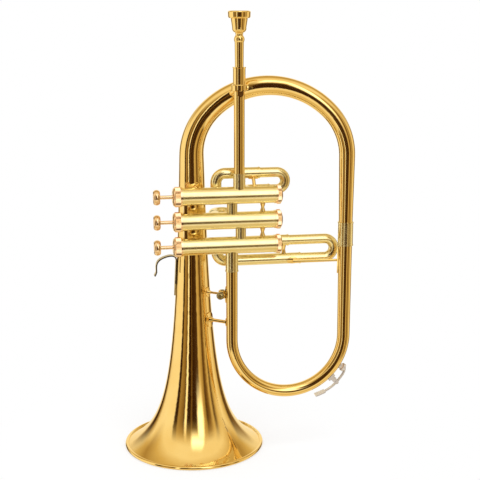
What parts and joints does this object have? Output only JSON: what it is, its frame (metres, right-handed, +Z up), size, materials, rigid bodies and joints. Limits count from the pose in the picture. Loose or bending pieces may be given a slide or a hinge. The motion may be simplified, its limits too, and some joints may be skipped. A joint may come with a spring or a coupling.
{
  "type": "flugelhorn",
  "caption": "Wide conical brass horn standing on its flared bell, with piston valves, pull slides, looped bows, a clamped mouthpipe and a cup mouthpiece.",
  "frame": {"origin": "centre of the bell's mouth, in the plane that its rim rests on", "axes": "+Z up the bell's axis towards the mouthpiece end; X along the valves, finger buttons towards -X; the valves are on the -Y side of the bell"},
  "size_m": [0.2554, 0.1588, 0.49],
  "materials": {
    "lacquered_brass": "clear gold lacquer, polished",
    "bright_brass": "clear gold lacquer, polished, a little paler",
    "fitting_brass": "clear gold lacquer over cast fittings",
    "rose_brass": "polished, pinkish",
    "dark_brass": "darker lacquered brass",
    "nickel_silver": "polished nickel silver",
    "piston_nickel": "lapped nickel plate",
    "spring_steel": "plain wire",
    "felt": "pressed felt",
    "cork": "fine cork"
  },
  "bodies": {
    "horn": {"bell": "lacquered_brass", "bell_bow_brace": "fitting_brass", "bottom_caps": "rose_brass", "bow_ferrule": "bright_brass", "casing_braces": "fitting_brass", "casing_lugs": "fitting_brass", "casing_posts": "fitting_brass", "finger_hook": "dark_brass", "first_slide_lower_sleeve": "bright_brass", "first_slide_strut": "fitting_brass", "first_slide_upper_sleeve": "bright_brass", "inlet_sleeve": "bright_brass", "knuckle_1_2": "bright_brass", "knuckle_2_3": "bright_brass", "lower_bow": "lacquered_brass", "lyre_holder": "fitting_brass", "mouthpipe_clamp": "fitting_brass", "outlet_sleeve": "bright_brass", "rim_wire": "dark_brass", "second_slide_sleeves": "bright_brass", "third_slide_brace": "fitting_brass", "third_slide_lower_sleeve": "bright_brass", "third_slide_post": "fitting_brass", "third_slide_upper_sleeve": "bright_brass", "top_caps": "rose_brass", "upper_bow": "lacquered_brass", "valve_casing_1": "bright_brass", "valve_casing_2": "bright_brass", "valve_casing_3": "bright_brass", "valve_guides": "fitting_brass", "valve_spring_1": "spring_steel", "valve_spring_2": "spring_steel", "valve_spring_3": "spring_steel", "water_key_nipple": "nickel_silver", "water_key_pin": "nickel_silver", "water_key_saddle": "nickel_silver", "water_key_spring": "spring_steel"},
    "valve_1": {"piston_1": "piston_nickel", "valve_stem_1": "rose_brass", "valve_felt_1": "felt", "finger_button_1": "rose_brass"},
    "valve_2": {"piston_2": "piston_nickel", "valve_stem_2": "rose_brass", "valve_felt_2": "felt", "finger_button_2": "rose_brass"},
    "valve_3": {"piston_3": "piston_nickel", "valve_stem_3": "rose_brass", "valve_felt_3": "felt", "finger_button_3": "rose_brass"},
    "first_slide": {"first_slide_crook": "bright_brass"},
    "second_slide": {"second_slide_crook": "bright_brass"},
    "third_slide": {"third_slide_crook": "bright_brass"},
    "mouthpipe_slide": {"mouthpipe": "lacquered_brass", "mouthpiece_receiver": "lacquered_brass"},
    "mouthpiece": {"mouthpiece": "lacquered_brass"},
    "water_key": {"water_key_lever": "nickel_silver", "water_key_cork": "cork"},
    "clamp_screw": {"clamp_screw": "dark_brass"},
    "lyre_screw": {"lyre_screw": "dark_brass"}
  },
  "joints": [
    {"name": "valve_1_press", "type": "slide", "parent": "horn", "child": "valve_1", "axis": [1, 0, 0], "range_m": [0, 0.013], "stiffness_N_per_m": 250, "springref_m": -0.012, "deforming": ["valve_spring_1"]},
    {"name": "valve_2_press", "type": "slide", "parent": "horn", "child": "valve_2", "axis": [1, 0, 0], "range_m": [0, 0.013], "stiffness_N_per_m": 250, "springref_m": -0.012, "deforming": ["valve_spring_2"]},
    {"name": "valve_3_press", "type": "slide", "parent": "horn", "child": "valve_3", "axis": [1, 0, 0], "range_m": [0, 0.013], "stiffness_N_per_m": 250, "springref_m": -0.012, "deforming": ["valve_spring_3"]},
    {"name": "first_slide_pull", "type": "slide", "parent": "horn", "child": "first_slide", "axis": [1, 0, 0], "range_m": [0, 0.015]},
    {"name": "second_slide_pull", "type": "slide", "parent": "horn", "child": "second_slide", "axis": [0, 1, 0], "range_m": [0, 0.012]},
    {"name": "third_slide_pull", "type": "slide", "parent": "horn", "child": "third_slide", "axis": [1, 0, 0], "range_m": [0, 0.025]},
    {"name": "mouthpipe_tuning", "type": "slide", "parent": "horn", "child": "mouthpipe_slide", "axis": [0, 0, 1], "range_m": [0, 0.01]},
    {"name": "mouthpiece_lift", "type": "slide", "parent": "mouthpipe_slide", "child": "mouthpiece", "axis": [0, 0, 1], "range_m": [0, 0.02]},
    {"name": "water_key_press", "type": "hinge", "parent": "horn", "child": "water_key", "pos_m": [0.15927, -0.0315, 0.07623], "axis": [0, 1, 0], "range_deg": [0, 12], "stiffness_Nm_per_rad": 0.05, "springref_deg": -28.65, "deforming": ["water_key_spring"]},
    {"name": "clamp_screw_turn", "type": "hinge", "parent": "horn", "child": "clamp_screw", "pos_m": [0.0476, -0.0315, 0.41], "axis": [1, 0, 0], "continuous": true},
    {"name": "lyre_screw_turn", "type": "hinge", "parent": "horn", "child": "lyre_screw", "pos_m": [0.0299, -0.02396, 0.1828], "axis": [-0.4202, -0.9074, 0], "continuous": true}
  ]
}
